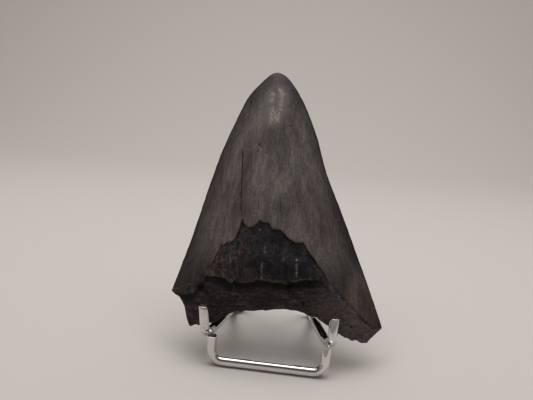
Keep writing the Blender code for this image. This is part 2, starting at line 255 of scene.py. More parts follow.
# The sweep: half its width, its front end, where its bend starts, the bend's radius and steps,
# and the top of its wall.
STAGE_HALF_WIDTH = 1500.0
STAGE_FRONT = -900.0
BEND_START = 450.0
BEND_RADIUS = 350.0
BEND_STEPS = 24
WALL_TOP = 1500.0

# Area lights: name, place, target, width, length, watts.
LIGHTS = [
    ("overhead_softbox", (0, 70, 700), (0, 71, 0), 700, 520, 2.9),
    ("ceiling", (0, 300, 1000), (0, 301, 0), 1800, 1800, 8.0),
]
# The room darkens between these heights of the view direction.
ROOM_CHANGE = (0.35, 0.50)
ROOM_LOW = "#8f8a86"
ROOM_HIGH = "#4a3e3e"


# ---------------------------------------------------------------- helpers
def linear(hex_colour):
    """Linear RGBA from an sRGB hex colour."""
    parts = [int(hex_colour[i:i + 2], 16) / 255 for i in (1, 3, 5)]
    return [c / 12.92 if c <= 0.04045 else ((c + 0.055) / 1.055) ** 2.4 for c in parts] + [1.0]


def smooth_through(points, at):
    """Values at `at` on the cubic Hermite curve through (position, value) points."""
    place, value = np.array(sorted(points), float).T
    slope = np.gradient(value, place)
    i = np.clip(np.searchsorted(place, at, side="right") - 1, 0, len(place) - 2)
    span = place[i + 1] - place[i]
    t = np.clip((at - place[i]) / span, 0.0, 1.0)
    rise = t * t * (3 - 2 * t)
    return (value[i] * (1 - rise) + value[i + 1] * rise
            + span * t * (1 - t) * ((1 - t) * slope[i] - t * slope[i + 1]))


def broken_line(points, at):
    """Values at `at` on the straight-line path through (position, value) points."""
    place, value = np.array(points, float).T
    return np.interp(at, place, value)


def smooth_step(low, high, at):
    """0 below `low`, 1 above `high`, with a smooth rise between them."""
    t = np.clip((at - low) / (high - low), 0.0, 1.0)
    return t * t * (3 - 2 * t)


def distance_to_line(across, height, line):
    """Distance from each point to the nearest stretch of a path through (across, height)."""
    nearest = np.full(np.shape(across), np.inf)
    for (across_0, height_0), (across_1, height_1) in zip(line, line[1:]):
        run, rise = across_1 - across_0, height_1 - height_0
        along = (across - across_0) * run + (height - height_0) * rise
        t = np.clip(along / (run * run + rise * rise), 0.0, 1.0)
        gap = np.hypot(across - across_0 - t * run, height - height_0 - t * rise)
        nearest = np.minimum(nearest, gap)
    return nearest


def nearest_spot(across, height, spots):
    """Smallest distance to a spot's middle, in radii of that spot."""
    return np.min([np.hypot(across - u, height - v) / radius for u, v, radius in spots], axis=0)


def lumps(x, y, cell, seed):
    """Random heights from -1 to 1 on a square lattice of `cell`, eased between its knots."""
    table = np.random.RandomState(seed).uniform(-1, 1, (128, 128))
    x = x / cell + 1000
    y = y / cell + 1000
    i = np.floor(x).astype(int)
    j = np.floor(y).astype(int)
    u = smooth_step(0, 1, x - i)
    v = smooth_step(0, 1, y - j)
    low = table[i % 128, j % 128] * (1 - u) + table[(i + 1) % 128, j % 128] * u
    high = table[i % 128, (j + 1) % 128] * (1 - u) + table[(i + 1) % 128, (j + 1) % 128] * u
    return low * (1 - v) + high * v


def grid_triangles(rows, columns, first, flip):
    """Two triangles for each cell of a grid of points numbered row by row from `first`."""
    corner = first + np.arange((rows - 1) * columns).reshape(rows - 1, columns)[:, :-1].ravel()
    quads = np.stack([corner, corner + 1, corner + columns + 1, corner + columns], axis=1)
    if flip:
        quads = quads[:, ::-1]
    return np.concatenate([quads[:, [0, 1, 2]], quads[:, [0, 2, 3]]])


def weld(points, triangles, values=None):
    """Merge points in the same cell of a fine lattice and drop the triangles this closes."""
    lattice = np.round(points / (WELD_CELL * MM)).astype(np.int64)
    _, first, renamed = np.unique(lattice, axis=0, return_index=True, return_inverse=True)
    triangles = renamed.reshape(-1)[triangles]
    a, b, c = triangles.T
    triangles = triangles[(a != b) & (b != c) & (c != a)]
    kept = {name: value[first] for name, value in (values or {}).items()}
    return points[first], triangles, kept


def add_piece(name, points, triangles, materials, values=None, face_material=None):
    """A smooth-shaded mesh object from arrays, riding on the one body."""
    mesh = bpy.data.meshes.new(name)
    mesh.from_pydata(points, [], triangles)
    for value_name, value in (values or {}).items():
        layer = mesh.attributes.new(value_name, "FLOAT", "POINT")
        layer.data.foreach_set("value", value.astype(np.float32))
    for mat in materials:
        mesh.materials.append(mat)
    if face_material is not None:
        mesh.polygons.foreach_set("material_index", face_material.astype(np.int32))
    mesh.shade_smooth()
    mesh.update()
    obj = bpy.data.objects.new(name, mesh)
    bpy.context.collection.objects.link(obj)
    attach(obj, "root")
    return obj


# ---------------------------------------------------------------- tooth shape
def below_tip(height):
    """Square root of the distance below the tip, in which the tip is round."""
    return np.sqrt(np.maximum(TIP_HEIGHT - height, 0.0))


def along_tooth(points, height):
    """A smooth value along the tooth's height that starts round at the tip."""
    return smooth_through([(math.sqrt(TIP_HEIGHT - h), value) for h, value in points],
                          below_tip(height))


def across_at(share, height):
    """Across position of a column, a share of the way from the left to the right edge.

    Both edges carry small worn nicks, lumps of some hundredths of a millimetre.
    """
    left = along_tooth(LEFT_EDGE, np.maximum(height, LEFT_CORNER_HEIGHT))
    right = along_tooth(RIGHT_EDGE, np.maximum(height, RIGHT_CORNER_HEIGHT))
    inside = smooth_step(0.0, TIP_ROUND, TIP_HEIGHT - height)
    left = left + inside * (NICK_DEPTH + NICK_DEPTH * lumps(height, 0 * height, *LEFT_NICKS))
    right = right - inside * (NICK_DEPTH + NICK_DEPTH * lumps(height, 0 * height, *RIGHT_NICKS))
    return left + (right - left) * share


def height_where(share, outline, rough, cell, seed):
    """Height at which each column meets an outline given as (across, height) points.

    `rough` adds lumps of that height and of `cell` width along the outline.
    """
    height = np.zeros_like(share)
    for _ in range(OUTLINE_PASSES):
        across = across_at(share, height)
        wanted = broken_line(outline, across) + rough * lumps(across, 0 * across, cell, seed)
        height = 0.5 * height + 0.5 * wanted
    return height


def fullness(share, height):
    """1 in the middle of a cross-section and 0 at its two cutting edges."""
    root = 1 - smooth_step(*SECTION_CHANGE, height)
    power = CROWN_SECTION[0] + (ROOT_SECTION[0] - CROWN_SECTION[0]) * root
    shape = CROWN_SECTION[1] + (ROOT_SECTION[1] - CROWN_SECTION[1]) * root
    return np.maximum(1 - np.abs(2 * share - 1) ** power, 0.0) ** shape


def rounding(above_bottom, size):
    """0 on the root's lower outline, rising as a quarter circle to 1 a `size` above it."""
    t = np.clip(above_bottom / size, 0.0, 1.0)
    return np.sqrt(1 - (1 - t) ** 2)


def ledge_depth(across):
    """How far the root is set back under the ledge, fading out towards both lobes."""
    left, right = LEDGE_REACH
    shape = smooth_step(-left - LEDGE_FADE, -left, across)
    shape = shape * (1 - smooth_step(right, right + LEDGE_FADE, across))
    return LEDGE_DEPTH * shape


def stack_rows(stretches):
    """Stack stretches of rows, each given as (shares of the way, top, foot, zone, drop)."""
    heights = np.concatenate([foot * way[:, None] + top * (1 - way[:, None])
                              for way, top, foot, _, _ in stretches])
    zones = np.concatenate([np.full(len(way), zone) for way, _, _, zone, _ in stretches])
    drops = np.concatenate([np.tile(drop, (len(way), 1)) for way, _, _, _, drop in stretches])
    return heights, zones[:, None] + 0 * heights, drops


def front_rows(share, bottom):
    """Heights, zones (0 enamel, 1 bourlette, 2 root) and set-backs of the front rows.

    Also the heights of the enamel's lower edge and of the ledge in every column.
    """
    enamel = np.maximum(height_where(share, ENAMEL_EDGE, *ENAMEL_EDGE_LUMPS), bottom)
    ledge = height_where(share, LEDGE_EDGE, *LEDGE_EDGE_LUMPS)
    low, high = LEDGE_ROOM
    ledge = np.clip(ledge, bottom + low * (enamel - bottom), enamel - high * (enamel - bottom))
    step_foot = enamel - np.minimum(STEP_RUN, STEP_SHARE * (enamel - bottom))
    ledge_foot = ledge - np.minimum(LEDGE_RUN, LEDGE_RUN_SHARE * (ledge - bottom))
    none = 0 * share
    under = ENAMEL_STEP + ledge_depth(across_at(share, ledge))
    crown = (np.arange(CROWN_ROWS + 1) / CROWN_ROWS) ** TIP_CROWDING
    root = np.sin(np.linspace(0, 1, ROOT_ROWS + 1) * math.pi / 2)
    heights, zones, drops = stack_rows([
        (crown, TIP_HEIGHT + none, enamel, 0, none),
        (np.linspace(0, 1, BOURLETTE_ROWS + 1), step_foot, ledge, 1, ENAMEL_STEP + none),
        (root, ledge_foot, bottom, 2, under),
    ])
    return heights, zones, drops, enamel, ledge


def back_rows(share, bottom):
    """The same for the back rows, which have no bourlette (zones 0 enamel, 2 root)."""
    enamel = np.maximum(height_where(share, BACK_ENAMEL_EDGE, *BACK_ENAMEL_EDGE_LUMPS), bottom)
    step_foot = enamel - np.minimum(STEP_RUN, STEP_SHARE * (enamel - bottom))
    none = 0 * share
    crown = (np.arange(CROWN_ROWS + 1) / CROWN_ROWS) ** TIP_CROWDING
    root = np.sin(np.linspace(0, 1, BACK_ROOT_ROWS + 1) * math.pi / 2)
    heights, zones, drops = stack_rows([
        (crown, TIP_HEIGHT + none, enamel, 0, none),
        (root, step_foot, bottom, 2, ENAMEL_STEP + none),
    ])
    return heights, zones, drops, enamel, bottom - TIP_HEIGHT


def front_marks(across, height, zone):
    """Depth in millimetres of the cracks, pits and hollows of the front face."""
    deep, wide = CRACK_CUT
    crack = deep * np.exp(-(distance_to_line(across, height, MAIN_CRACK) / wide) ** 2)
    pits = PIT_DEPTH * np.clip(1 - nearest_spot(across, height, DARK_PITS), 0, 1)
    depth = np.where(zone < 0.5, crack + pits, 0.0)
    for u, v, radius, deep in HOLLOWS:
        depth = depth + deep * np.exp(-(np.hypot(across - u, height - v) / radius) ** 4)
    return depth


def relief(across, height, zone, side):
    """Small heights over the face: waves on enamel, fibres on the bourlette, lumps on the root."""
    turn = 0 if side > 0 else BACK_SEEDS
    enamel, fibres, rough = [
        sum(high * lumps(across / wide, height / tall, cell, seed + turn)
            for high, wide, tall, cell, seed in rows)
        for rows in (ENAMEL_RELIEF, BOURLETTE_RELIEF, ROOT_RELIEF)]
    proud = np.where(zone < 0.5, enamel, np.where(zone < 1.5, fibres, rough))
    return proud - (front_marks(across, height, zone) if side > 0 else 0)


def forward_at(share, across, height, zone, drop, bottom, side):
    """Forward position of the front (side +1) or back (side -1) face.

    The face stands off the plane of the cutting edges by its bulge times the section's
    fullness, less the set-back, and closes on the root's lower outline with a rounding.
    """
    full = fullness(share, height)
    bulge, size = (FRONT_BULGE, FRONT_ROUNDING) if side > 0 else (BACK_BULGE, BACK_ROUNDING)
    plane = along_tooth(EDGE_PLANE, height)
    proud = relief(across, height, zone, side) * smooth_step(0.0, RELIEF_START, full)
    face = plane + side * (full * (along_tooth(bulge, height) - drop) + proud)
    middle = plane + (ROOT_BOTTOM_PLANE - plane) * fullness(share, bottom)
    return middle + (face - middle) * rounding(height - bottom, size)


def surface_values(share, across, height, zone, enamel, ledge, side):
    """Per-point measures, in millimetres, that the fossil material draws its marks from."""
    far = TIP_HEIGHT + 0 * height
    left, right = across_at(0 * share, height), across_at(0 * share + 1, height)
    fading = EDGE_MARK_FADE * np.maximum(across - RIM_SPAN[1], 0)
    values = {"zone": zone, "edge_mm": np.minimum(across - left, right - across),
              "above_enamel_edge_mm": height - enamel + fading,
              # Drives the painted shadow under the ledge.
              "above_ledge_mm": height - ledge - fading,
              "crack_mm": far, "hairline_mm": far, "wear_and_highlight_mm": far, "speck": far, "pit": far,
              "ring_mm": far, "streak_mm": far, "past_band_mm": -far, "rim_mm": far,
              "shaded_hollow": far}
    if side > 0:
        aside = np.maximum(RIM_SPAN[0] - across, across - RIM_SPAN[1])
        values["rim_mm"] = height - ledge + RIM_FADE * np.maximum(aside, 0)
        values["past_band_mm"] = across - broken_line(PINK_BAND, height)
        values["ring_mm"] = np.min([np.abs(np.hypot(across - u, height - v) - radius)
                                    for u, v, radius in RINGS], axis=0)
        for name, lines in (("crack_mm", [MAIN_CRACK]), ("hairline_mm", HAIRLINES),
                            ("wear_and_highlight_mm", WORN_TIP_AND_HIGHLIGHT), ("streak_mm", PALE_STREAKS)):
            values[name] = np.min([distance_to_line(across, height, line) for line in lines],
                                  axis=0)
        for name, spots in (("speck", PALE_SPECKS), ("pit", DARK_PITS),
                            ("shaded_hollow", [shaded_hollow[:3] for shaded_hollow in HOLLOWS])):
            values[name] = nearest_spot(across, height, spots)
    return {name: value.ravel() for name, value in values.items()}


def tooth_surface():
    """Points, triangles and point values of the whole tooth in the frame of the object."""
    even = np.linspace(-1, 1, COLUMNS + 1)
    crowded = (1 - EDGE_CROWDING) * even + EDGE_CROWDING * np.sin(even * math.pi / 2)
    share = 0.5 + 0.5 * crowded
    bottom = height_where(share, ROOT_OUTLINE, *ROOT_OUTLINE_LUMPS)
    points = []
    triangles = []
    values = []
    first = 0
    for rows, side in ((front_rows, 1), (back_rows, -1)):
        height, zone, drop, enamel, ledge = rows(share, bottom)
        across = across_at(share, height)
        forward = forward_at(share, across, height, zone, drop, bottom, side)
        points.append(np.stack([across, -forward, height], axis=-1).reshape(-1, 3))
        triangles.append(grid_triangles(*height.shape, first, side < 0))
        values.append(surface_values(share, across, height, zone, enamel, ledge, side))
        first += height.size
    leaned = np.concatenate(points) @ np.array(Matrix.Rotation(-TOOTH_LEAN, 3, "X")).T
    placed = (leaned + TOOTH_PLACE - FOOTPRINT_MIDDLE) * MM
    joined = {name: np.concatenate([part[name] for part in values]) for name in values[0]}
    return weld(placed, np.concatenate(triangles), joined)


def build_tooth(materials):
    """The tooth as one closed piece in place of its solid: enamel, bourlette and root."""
    points, triangles, values = tooth_surface()
    zone = np.round(values.pop("zone"))[triangles].min(axis=1)
    tooth = add_piece("fossil_tooth", points, triangles, materials, values, zone)
    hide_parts("tooth")


# ---------------------------------------------------------------- wires
def rounded_path(corners):
    """Points that run straight between corners and turn each one in an arc."""
    places = [Vector(place) for place, _ in corners]
    path = [places[0]]
    for i in range(1, len(corners) - 1):
        before = (places[i - 1] - places[i]).normalized()
        after = (places[i + 1] - places[i]).normalized()
        half_angle = before.angle(after) / 2
        radius = corners[i][1]
        centre = places[i] + (before + after).normalized() * radius / math.sin(half_angle)
        start = places[i] + before * radius / math.tan(half_angle) - centre
        axis = before.cross(after).normalized()
        turn = math.pi - 2 * half_angle
        steps = max(1, math.ceil(turn / ARC_STEP))
        straight = centre + start - path[-1]
        pieces = max(1, math.ceil(straight.length / STRAIGHT_STEP))
        for k in range(1, pieces):
            path.append(path[-1] + straight / pieces)
        for k in range(steps + 1):
            path.append(centre + Matrix.Rotation(-turn * k / steps, 3, axis) @ start)
    path.append(places[-1])
    return path


def wire_surface(corners, roundings):
    """A circle carried along the rounded path without twist, closed by cut ends.

    Towards each end the radius falls along a quarter of an ellipse to a flat disc.  The
    points of both ends are slid along the wire on to the plane of the cut, which is level or
    leans back: by their height over that plane, divided by the wire's slope against it.
    """
    path = rounded_path(corners)
    first, last = (path[1] - path[0]).normalized(), (path[-1] - path[-2]).normalized()
    quarter = [math.pi / 2 * k / END_STEPS for k in range(END_STEPS + 1)]
    start, finish = [[(drop * (1 - math.cos(q)), WIRE_RADIUS - reach * (1 - math.sin(q)))
                      for q in quarter] for reach, drop, _ in roundings]
    stations = [(path[0], 0.0, first)]
    stations += [(path[0] + first * inset, radius, first) for inset, radius in start]
    middle = path[1:-1]
    tangents = [(b - a).normalized() for a, b in zip(path[:-1], path[1:])]
    stations += [(place, WIRE_RADIUS, (before + after).normalized())
                 for place, before, after in zip(middle, tangents, tangents[1:])]
    stations += [(path[-1] - last * inset, radius, last) for inset, radius in finish[::-1]]
    stations += [(path[-1], 0.0, last)]
    sides = [first.orthogonal().normalized()]
    for (_, _, before), (_, _, after) in zip(stations, stations[1:]):
        sides.append(before.rotation_difference(after) @ sides[-1])
    tangents = np.array([tangent for _, _, tangent in stations])
    sides = np.array(sides)
    ups = np.cross(tangents, sides)
    centres = np.array([place for place, _, _ in stations])
    radii = np.array([radius for _, radius, _ in stations])
    angle = np.linspace(0, 2 * math.pi, WIRE_SIDES + 1)[None, :, None]
    ring = (sides[:, None] * np.cos(angle) + ups[:, None] * np.sin(angle)) * radii[:, None, None]
    ring[:, -1] = ring[:, 0]
    slide = np.zeros(ring.shape[:2])
    end_rows = (slice(0, END_STEPS + 2), slice(-END_STEPS - 2, None))
    for part, (_, _, lean) in zip(end_rows, roundings):
        cut = np.array([0.0, math.sin(lean), math.cos(lean)])
        slide[part] = -(ring[part] @ cut) / (tangents[part] @ cut)[:, None]
    points = centres[:, None] + ring + slide[..., None] * tangents[:, None]
    triangles = grid_triangles(len(stations), WIRE_SIDES + 1, 0, True)
    return (points.reshape(-1, 3) - FOOTPRINT_MIDDLE) * MM, triangles


def build_wire(name, node, corners, materials, roundings=(BARE_END, BARE_END)):
    """One bent wire in place of its solid.

    The disc of a bare end has the second of the materials, and that of a plated end the third.
    """
    points, triangles = wire_surface(corners, roundings)
    points, triangles, _ = weld(points, triangles)
    face_material = np.zeros(len(triangles), int)
    for i, rounding in zip((0, -1), roundings):
        end = (Vector(corners[i][0]) - Vector(FOOTPRINT_MIDDLE)) * MM
        reach = (WIRE_RADIUS - rounding[0] * DISC_SHARE) * MM
        near = np.linalg.norm(points - np.array(end), axis=1) < reach
        face_material[near[triangles].all(axis=1)] = 1 if rounding == BARE_END else 2
    wire = add_piece(name, points, triangles, materials,
                     face_material=face_material)
    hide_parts(node)


def build_weld_bead(name, place, along, radii, materials):
    """A rounded bead of weld: a ball stretched along a direction, with a few shallow dents.

    The point at (turn, rise) is the unit ball's point times one radius along the direction
    and another across it, times one less a few hundredths of lumps.
    """
    turn, rise = np.meshgrid(np.linspace(0, 2 * math.pi, BEAD_STEPS * 2 + 1),
                             np.linspace(-math.pi / 2, math.pi / 2, BEAD_STEPS + 1))
    ball = np.stack([np.cos(rise) * np.cos(turn), np.cos(rise) * np.sin(turn), np.sin(rise)], -1)
    ball[:, -1] = ball[:, 0]
    dents = 1 + BEAD_DENT * lumps(ball[..., 0] + 2 * ball[..., 2], ball[..., 1],
                                  *BEAD_DENT_GRAIN)
    ball = ball * dents[..., None] * np.array([radii[1], radii[1], radii[0]])
    turned = ball.reshape(-1, 3) @ np.array(Vector((0, 0, 1)).rotation_difference(
        Vector(along)).to_matrix()).T
    points = (turned + np.array(place) - FOOTPRINT_MIDDLE) * MM
    points, triangles, _ = weld(points, grid_triangles(*turn.shape, 0, False))
    add_piece(name, points, triangles, materials)


# ---------------------------------------------------------------- materials
def add_node(tree, kind, links=None, **settings):
    """Add one node, set its properties, and fill its inputs from values or other sockets."""
    node = tree.nodes.new(kind)
    for name, value in settings.items():
        setattr(node, name, value)
    for key, value in (links or {}).items():
        if isinstance(value, bpy.types.NodeSocket):
            tree.links.new(value, node.inputs[key])
        else:
            node.inputs[key].default_value = value
    return node


def new_material(name):
    """An empty material with its Principled shader."""
    mat = bpy.data.materials.new(name)
    mat.use_nodes = True
    return mat, mat.node_tree, mat.node_tree.nodes["Principled BSDF"]


def tooth_coordinates(tree):
    """Millimetres in the tooth's own frame: across, backward and height."""
    texture = add_node(tree, "ShaderNodeTexCoord")
    place = (TOOTH_PLACE - FOOTPRINT_MIDDLE) * MM
    own = add_node(tree, "ShaderNodeMapping",
                   {"Vector": texture.outputs["Object"], "Location": place.tolist(),
                    "Rotation": (-TOOTH_LEAN, 0, 0), "Scale": (MM, MM, MM)},
                   vector_type="TEXTURE")
    return own.outputs[0]


def read_values(tree, names):
    """Outputs that carry the per-point values of the tooth's surface."""
    return {name: add_node(tree, "ShaderNodeAttribute", attribute_name=name).outputs["Fac"]
            for name in names}


def noise_patterns(tree, own, patterns):
    """Noise outputs from rows of (name, stretch, size in mm, detail, roughness, distortion)."""
    outputs = {}
    for name, stretch, size, detail, roughness, distortion in patterns:
        spread = add_node(tree, "ShaderNodeMapping", {"Vector": own, "Scale": stretch})
        noise = add_node(tree, "ShaderNodeTexNoise",
                         {"Vector": spread.outputs[0], "Scale": 1 / size, "Detail": detail,
                          "Roughness": roughness, "Distortion": distortion})
        outputs[name] = noise.outputs["Fac"]
    return outputs


def shade(tree, colour, rows):
    """Multiply a colour by factors, each mapped from a measure: (measure, from, to, low, high)."""
    for measure, start, stop, low, high in rows:
        factor = add_node(tree, "ShaderNodeMapRange",
                          {"Value": measure, "From Min": start, "From Max": stop,
                           "To Min": low, "To Max": high}, interpolation_type="SMOOTHSTEP")
        colour = add_node(tree, "ShaderNodeVectorMath",
                          {0: colour, "Scale": factor.outputs[0]}, operation="SCALE").outputs[0]
    return colour


def lay_colours(tree, colour, rows):
    """Lay colours over each other: (measure, noise, raggedness, from, to, low, high, colour).

    The cover goes from low to high as the measure, shifted by noise, goes from one value to
    the other.
    """
    for measure, noise, ragged, start, stop, low, high, hex_colour in rows:
        shifted = add_node(tree, "ShaderNodeMath", {0: noise, 1: ragged, 2: measure},
                           operation="MULTIPLY_ADD")
        cover = add_node(tree, "ShaderNodeMapRange",
                         {"Value": shifted.outputs[0], "From Min": start + 0.5 * ragged,
                          "From Max": stop + 0.5 * ragged, "To Min": low, "To Max": high},
                         interpolation_type="SMOOTHSTEP")
        colour = add_node(tree, "ShaderNodeMix",
                          {"Factor": cover.outputs[0], "A": colour, "B": linear(hex_colour)},
                          data_type="RGBA").outputs["Result"]
    return colour


def finish_surface(tree, shader, colour, roughness, bumps):
    """Link the colour, a roughness (noise, low, high) and a bump: rows of (noise, mm high)."""
    gloss = add_node(tree, "ShaderNodeMapRange",
                     {"Value": roughness[0], "From Min": 0.3, "From Max": 0.7,
                      "To Min": roughness[1], "To Max": roughness[2]})
    height = 0.0
    for noise, high in bumps:
        height = add_node(tree, "ShaderNodeMath", {0: noise, 1: high, 2: height},
                          operation="MULTIPLY_ADD").outputs[0]
    bump = add_node(tree, "ShaderNodeBump", {"Height": height, "Distance": MM, "Strength": 1.0})
    tree.links.new(colour, shader.inputs["Base Color"])
    tree.links.new(gloss.outputs[0], shader.inputs["Roughness"])
    tree.links.new(bump.outputs["Normal"], shader.inputs["Normal"])


def enamel_material():
    """Fossil enamel: a hard, satin, dark grey skin, polished by wear rather than glazed.

    It is olive grey clouded with plum, with fine upright streaks and a warm brown patch low
    down on the right flank, pale at the tip partly from wear and partly from a painted
    highlight, and crossed by a crack.  Painted shade darkens it towards the cutting edges, on
    the right flank and low down, and it is darker towards the tip.
    """
    mat, tree, shader = new_material("fossil_enamel")
    own = tooth_coordinates(tree)
    value = read_values(tree, ("edge_mm", "above_enamel_edge_mm", "crack_mm", "hairline_mm",
                               "wear_and_highlight_mm", "speck", "pit", "past_band_mm"))
    noise = noise_patterns(tree, own, [
        ("clouds", (1, 1, 0.3), 5.0, 4.0, 0.6, 0.4),
        ("tone", (1, 1, 0.45), 11.0, 3.0, 0.55, 0.6),
        ("streaks", (1, 1, 0.035), 0.7, 3.0, 0.75, 0.0),
        ("bands", (1, 1, 0.06), 3.4, 2.0, 0.5, 0.0),
        ("speckle", (1, 1, 0.7), 0.9, 3.0, 0.8, 0.4),
        ("grain", (1, 1, 1), 0.7, 4.0, 0.7, 0.0),
    ])
    place = add_node(tree, "ShaderNodeSeparateXYZ", {"Vector": own}).outputs
    cloud = add_node(tree, "ShaderNodeVectorMath",
                     {0: own, 1: CLOUD_PLACE}, operation="SUBTRACT")
    flat = add_node(tree, "ShaderNodeVectorMath",
                    {0: cloud.outputs[0], 1: (1.0, 0.0, 1.0)}, operation="MULTIPLY")
    from_cloud = add_node(tree, "ShaderNodeVectorMath", {0: flat.outputs[0]},
                          operation="LENGTH").outputs["Value"]
    to_low_right, to_low_left = [
        add_node(tree, "ShaderNodeVectorMath", {0: own, 1: way},
                 operation="DOT_PRODUCT").outputs["Value"] for way in (LOW_RIGHT, LOW_LEFT)]
    off_band = add_node(tree, "ShaderNodeMath", {0: value["past_band_mm"]},
                        operation="ABSOLUTE").outputs[0]
    body = lay_colours(tree, linear("#625d58"), [
        (noise["clouds"], noise["grain"], 0.08, 0.42, 0.58, 0.0, 1.0, "#605754"),
        (off_band, noise["clouds"], 3.0, 0.2, 3.0, 0.55, 0.0, "#6d5852"),
        (to_low_right, noise["clouds"], 4.0, 14.0, 22.0, 0.0, 0.5, "#6d5852"),
    ])
    body = shade(tree, body, [
        (noise["tone"], 0.32, 0.68, 0.70, 1.24),
        (noise["bands"], 0.35, 0.65, 0.86, 1.12),
        (noise["streaks"], 0.30, 0.70, 0.70, 1.24),
        (noise["grain"], 0.30, 0.70, 0.74, 1.20),
        # Painted shade: darker towards the cutting edges, on the right flank past the pink band,
        # low down, and towards the lower right and the lower left.
        (value["edge_mm"], 0.1, 1.2, 0.55, 1.0),
        (value["edge_mm"], 1.0, 7.0, 0.55, 1.0),
        (value["past_band_mm"], 0.0, 3.0, 1.0, 0.56),
        (place["Z"], 0.0, 28.0, 0.52, 1.0),
        (to_low_right, -10.0, 8.0, 1.0, 0.58),
        (to_low_left, 5.0, 22.0, 1.0, 0.52),
        # Darker towards the tip, lighter on the brown patch low on the right flank, and darker in
        # the dark cloud.
        (place["Z"], 72.0, 84.0, 1.0, 0.56),
        (to_low_right, 14.0, 22.0, 1.0, 1.7),
        (from_cloud, 1.5, 7.5, 0.60, 1.0),
    ])
    colour = lay_colours(tree, body, [
        # Pale at the tip: partly wear, partly a painted highlight.
        (value["wear_and_highlight_mm"], noise["clouds"], 3.0, 0.0, 4.0, 0.6, 0.0, "#766e68"),
        (value["wear_and_highlight_mm"], noise["speckle"], 6.0, -0.2, 1.1, 0.78, 0.0, "#9d948a"),
        (value["above_enamel_edge_mm"], noise["speckle"], 2.2, 0.0, 0.7, 0.8, 0.0, "#65483d"),
        (value["crack_mm"], noise["grain"], 1.2, 0.05, 0.6, 0.5, 0.0, "#4c3129"),
        (value["hairline_mm"], noise["grain"], 0.6, 0.0, 0.3, 0.55, 0.0, "#2a201e"),
        (value["pit"], noise["grain"], 0.8, 0.7, 1.5, 0.85, 0.0, "#2c1817"),
        (value["crack_mm"], noise["grain"], 0.4, 0.05, 0.30, 0.95, 0.0, "#150d0d"),
        (value["speck"], noise["grain"], 1.0, 0.4, 1.0, 0.8, 0.0, "#a79b8b"),
    ])
    finish_surface(tree, shader, colour, (noise["grain"], 0.36, 0.50),
                   [(noise["streaks"], 0.012), (noise["grain"], 0.02)])
    shader.inputs["Specular IOR Level"].default_value = 0.16
    return mat


def bourlette_material():
    """Bourlette: bare fossil dentine, rough, dull and almost black.

    Brown fibres run up it, thicker at the left, with ring-shaped marks, pale specks and
    streaks, and a thin brown lip along the ledge. Its narrow right end is as grey as the lobe.
    Painted shade blackens its hollows.
    """
    mat, tree, shader = new_material("fossil_bourlette")
    own = tooth_coordinates(tree)
    value = read_values(tree, ("rim_mm", "shaded_hollow", "speck", "pit", "ring_mm", "streak_mm"))
    noise = noise_patterns(tree, own, [
        ("clouds", (1, 1, 1), 3.5, 5.0, 0.65, 0.8),
        ("fibres", (1, 1, 0.3), 1.1, 4.0, 0.7, 1.4),
        ("mottle", (1, 1, 0.6), 1.3, 3.0, 0.7, 0.6),
        ("grain", (1, 1, 1), 0.6, 4.0, 0.7, 0.0),
    ])
    place = add_node(tree, "ShaderNodeSeparateXYZ", {"Vector": own})
    side = add_node(tree, "ShaderNodeMath", {0: place.outputs["X"], 1: -0.012},
                    operation="MULTIPLY").outputs[0]
    fibres = add_node(tree, "ShaderNodeMath", {0: noise["fibres"], 1: side},
                      operation="ADD").outputs[0]
    colour = lay_colours(tree, linear("#1c1b1e"), [
        (noise["clouds"], noise["grain"], 0.1, 0.40, 0.62, 0.0, 1.0, "#292527"),
        (fibres, noise["grain"], 0.1, 0.54, 0.80, 0.0, 0.6, "#473d3b"),
        (value["ring_mm"], noise["fibres"], 1.2, 0.0, 0.40, 0.65, 0.0, "#6a5345"),
        (value["streak_mm"], noise["fibres"], 2.0, 0.0, 0.5, 0.5, 0.0, "#75695e"),
        (value["rim_mm"], noise["fibres"], 5.0, -0.8, 0.8, 0.75, 0.0, "#5c4b3c"),
        (place.outputs["X"], noise["clouds"], 6.0, 12.0, 20.0, 0.0, 0.8, "#5a5352"),
        # Painted shade in the hollows.
        (value["shaded_hollow"], noise["grain"], 0.6, 0.5, 1.2, 0.9, 0.0, "#0e0b0c"),
        (value["speck"], noise["grain"], 2.0, 0.2, 1.0, 0.85, 0.0, "#9f8f7b"),
        (value["pit"], noise["grain"], 0.4, 0.5, 1.2, 0.9, 0.0, "#0e0b0b"),
    ])
    colour = shade(tree, colour, [(noise["grain"], 0.30, 0.70, 0.55, 1.40),
                                  (noise["mottle"], 0.35, 0.65, 0.55, 1.40),
                                  (noise["clouds"], 0.35, 0.65, 0.70, 1.15)])
    finish_surface(tree, shader, colour, (noise["fibres"], 0.5, 0.7),
                   [(noise["fibres"], 0.10), (noise["grain"], 0.10)])
    shader.inputs["Specular IOR Level"].default_value = 0.16
    return mat


